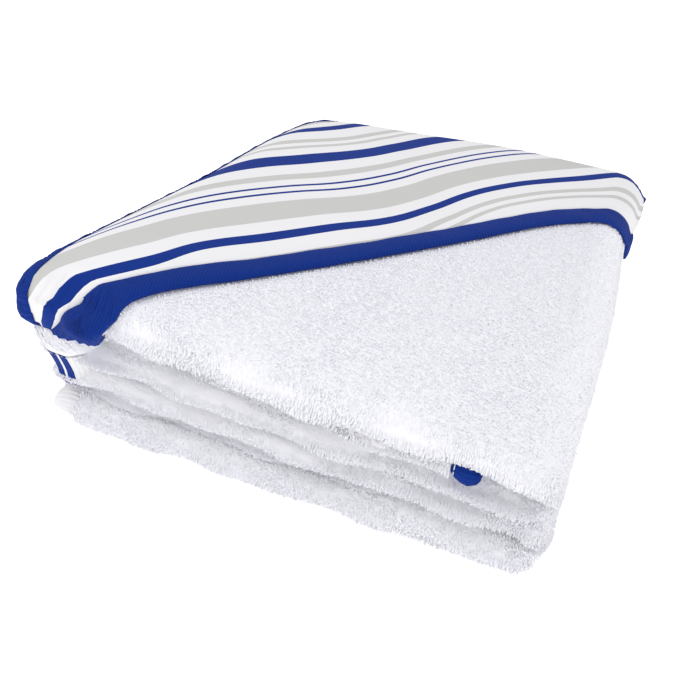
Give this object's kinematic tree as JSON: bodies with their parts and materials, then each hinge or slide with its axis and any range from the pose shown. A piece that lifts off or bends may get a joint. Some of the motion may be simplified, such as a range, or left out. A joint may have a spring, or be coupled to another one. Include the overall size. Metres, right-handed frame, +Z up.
{
  "type": "hooded baby towel",
  "caption": "Folded white terry hooded baby towel with a blue, grey and white striped hood, royal blue hood bindings and a striped edge binding.",
  "frame": {"origin": "middle of the folded stack's footprint, on the surface it lies on", "axes": "+Z up, -Y towards the side with the front folds, +X towards the right folds; the hood's corner is at -X +Y"},
  "size_m": [0.2438, 0.3306, 0.0787],
  "materials": {
    "terry": "white looped cotton terry, deep soft pile on both faces",
    "hood_jersey": "smooth cotton knit with woven-in stripes of royal blue, light grey and white in several widths",
    "blue_binding": "royal blue cotton rib knit, folded over the edge and stitched",
    "striped_binding": "the hood's striped cotton knit cut across its stripes, folded over the edge and stitched",
    "blue_thread": "blue polyester sewing thread",
    "white_thread": "white polyester sewing thread"
  },
  "bodies": {
    "root": {"terry_body": "terry", "hood_lining": "terry", "hood_panel": "hood_jersey", "hood_front_binding": "blue_binding", "hood_edge_binding": "blue_binding", "edge_binding": "striped_binding", "hood_front_stitching": "blue_thread", "hood_edge_stitching": "blue_thread", "edge_stitching": "white_thread"}
  },
  "joints": []
}
